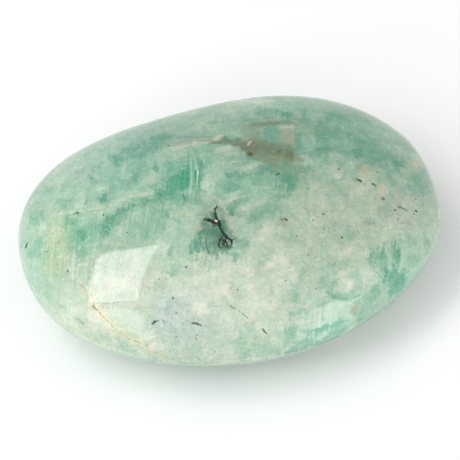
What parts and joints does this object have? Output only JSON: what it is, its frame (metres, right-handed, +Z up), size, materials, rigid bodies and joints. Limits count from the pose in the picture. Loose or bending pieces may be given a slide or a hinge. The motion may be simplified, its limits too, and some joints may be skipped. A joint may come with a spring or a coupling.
{
  "type": "palm stone",
  "caption": "Smooth oval palm stone of mottled pale green feldspar, polished all over, that lies on a small flat spot.",
  "frame": {"origin": "middle of the stone's box in X and Y, at the bottom, on the flat spot that it rests on", "axes": "+X along the stone's length, towards its gently flattened end; +Y across it; +Z up, through its thickness"},
  "size_m": [0.0652, 0.045, 0.0227],
  "materials": {
    "polished_feldspar": "high polish over mottled sea green and cream feldspar with pale streaks, dark specks and a black branching inclusion"
  },
  "bodies": {
    "root": {"palm_stone": "polished_feldspar"}
  },
  "joints": []
}
